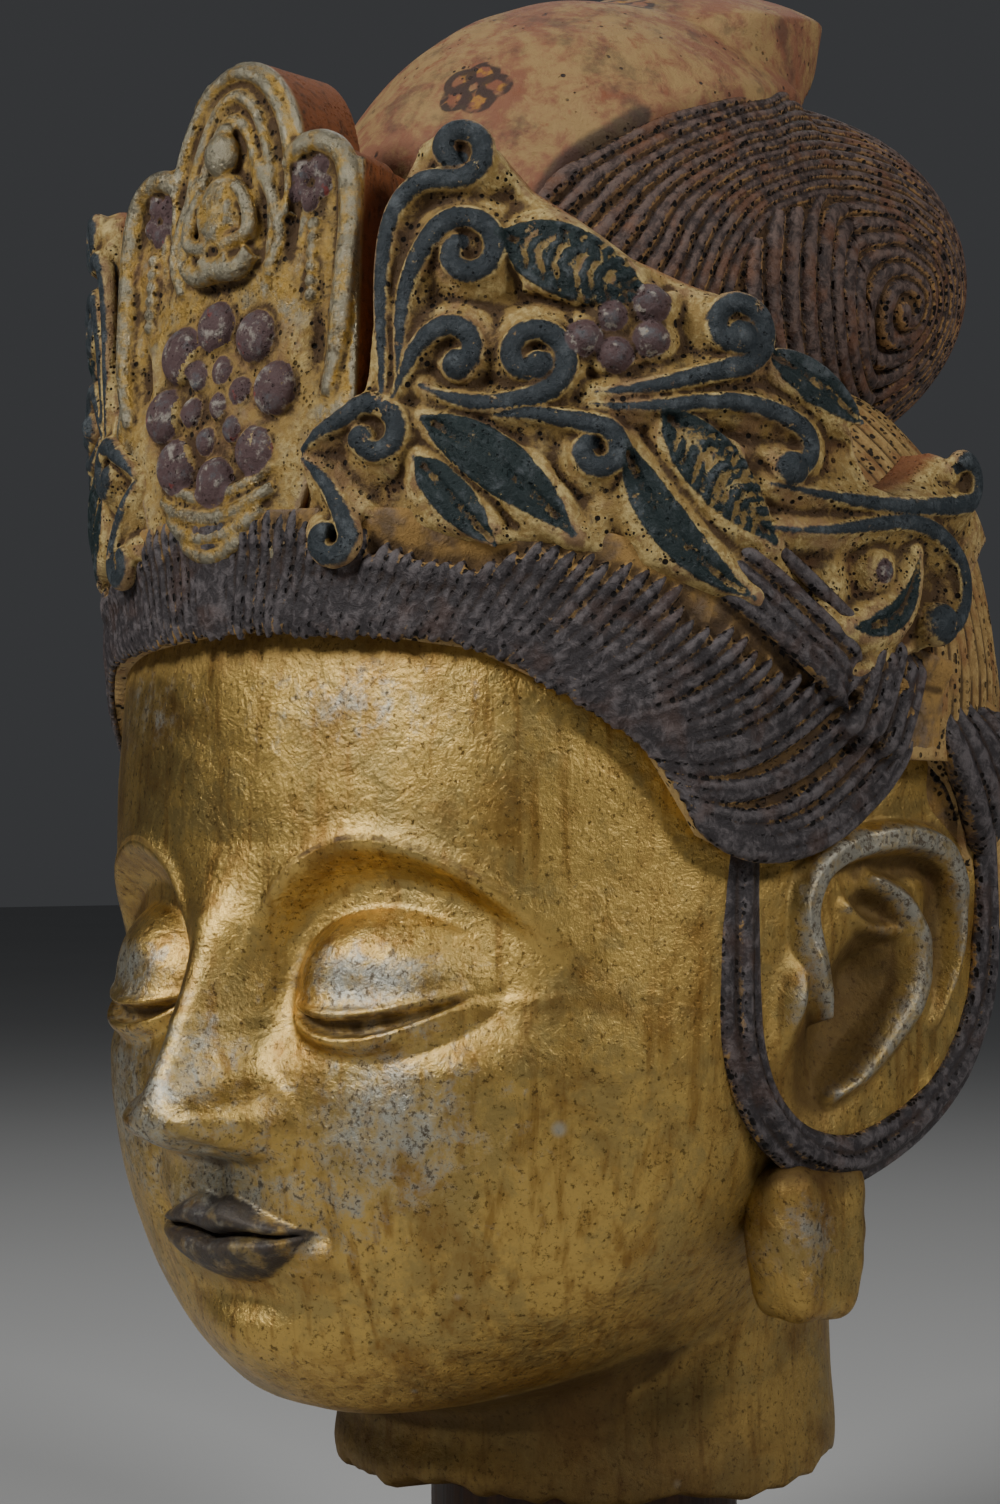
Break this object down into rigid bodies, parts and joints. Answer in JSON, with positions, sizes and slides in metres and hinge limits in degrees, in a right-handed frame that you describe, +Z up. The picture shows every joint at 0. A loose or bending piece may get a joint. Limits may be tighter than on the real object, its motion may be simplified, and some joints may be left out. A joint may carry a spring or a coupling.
{
  "type": "crowned bodhisattva head on a stand",
  "caption": "Gilt and painted head of a bodhisattva with scrolled crown, combed hair and coiled topknot, on a round post and square wooden foot.",
  "frame": {"origin": "centre of the foot's underside", "axes": "+Z up, -Y the way the face looks, +X towards the figure's left ear"},
  "size_m": [0.2031, 0.2221, 0.3888],
  "materials": {
    "gilt_painted_clay": "worn gilding and matt paint over a fired, gesso-coated clay body",
    "dark_wood": "dark stained wood, satin"
  },
  "bodies": {
    "root": {"head": "gilt_painted_clay", "stand_post": "dark_wood", "stand_foot": "dark_wood"}
  },
  "joints": []
}
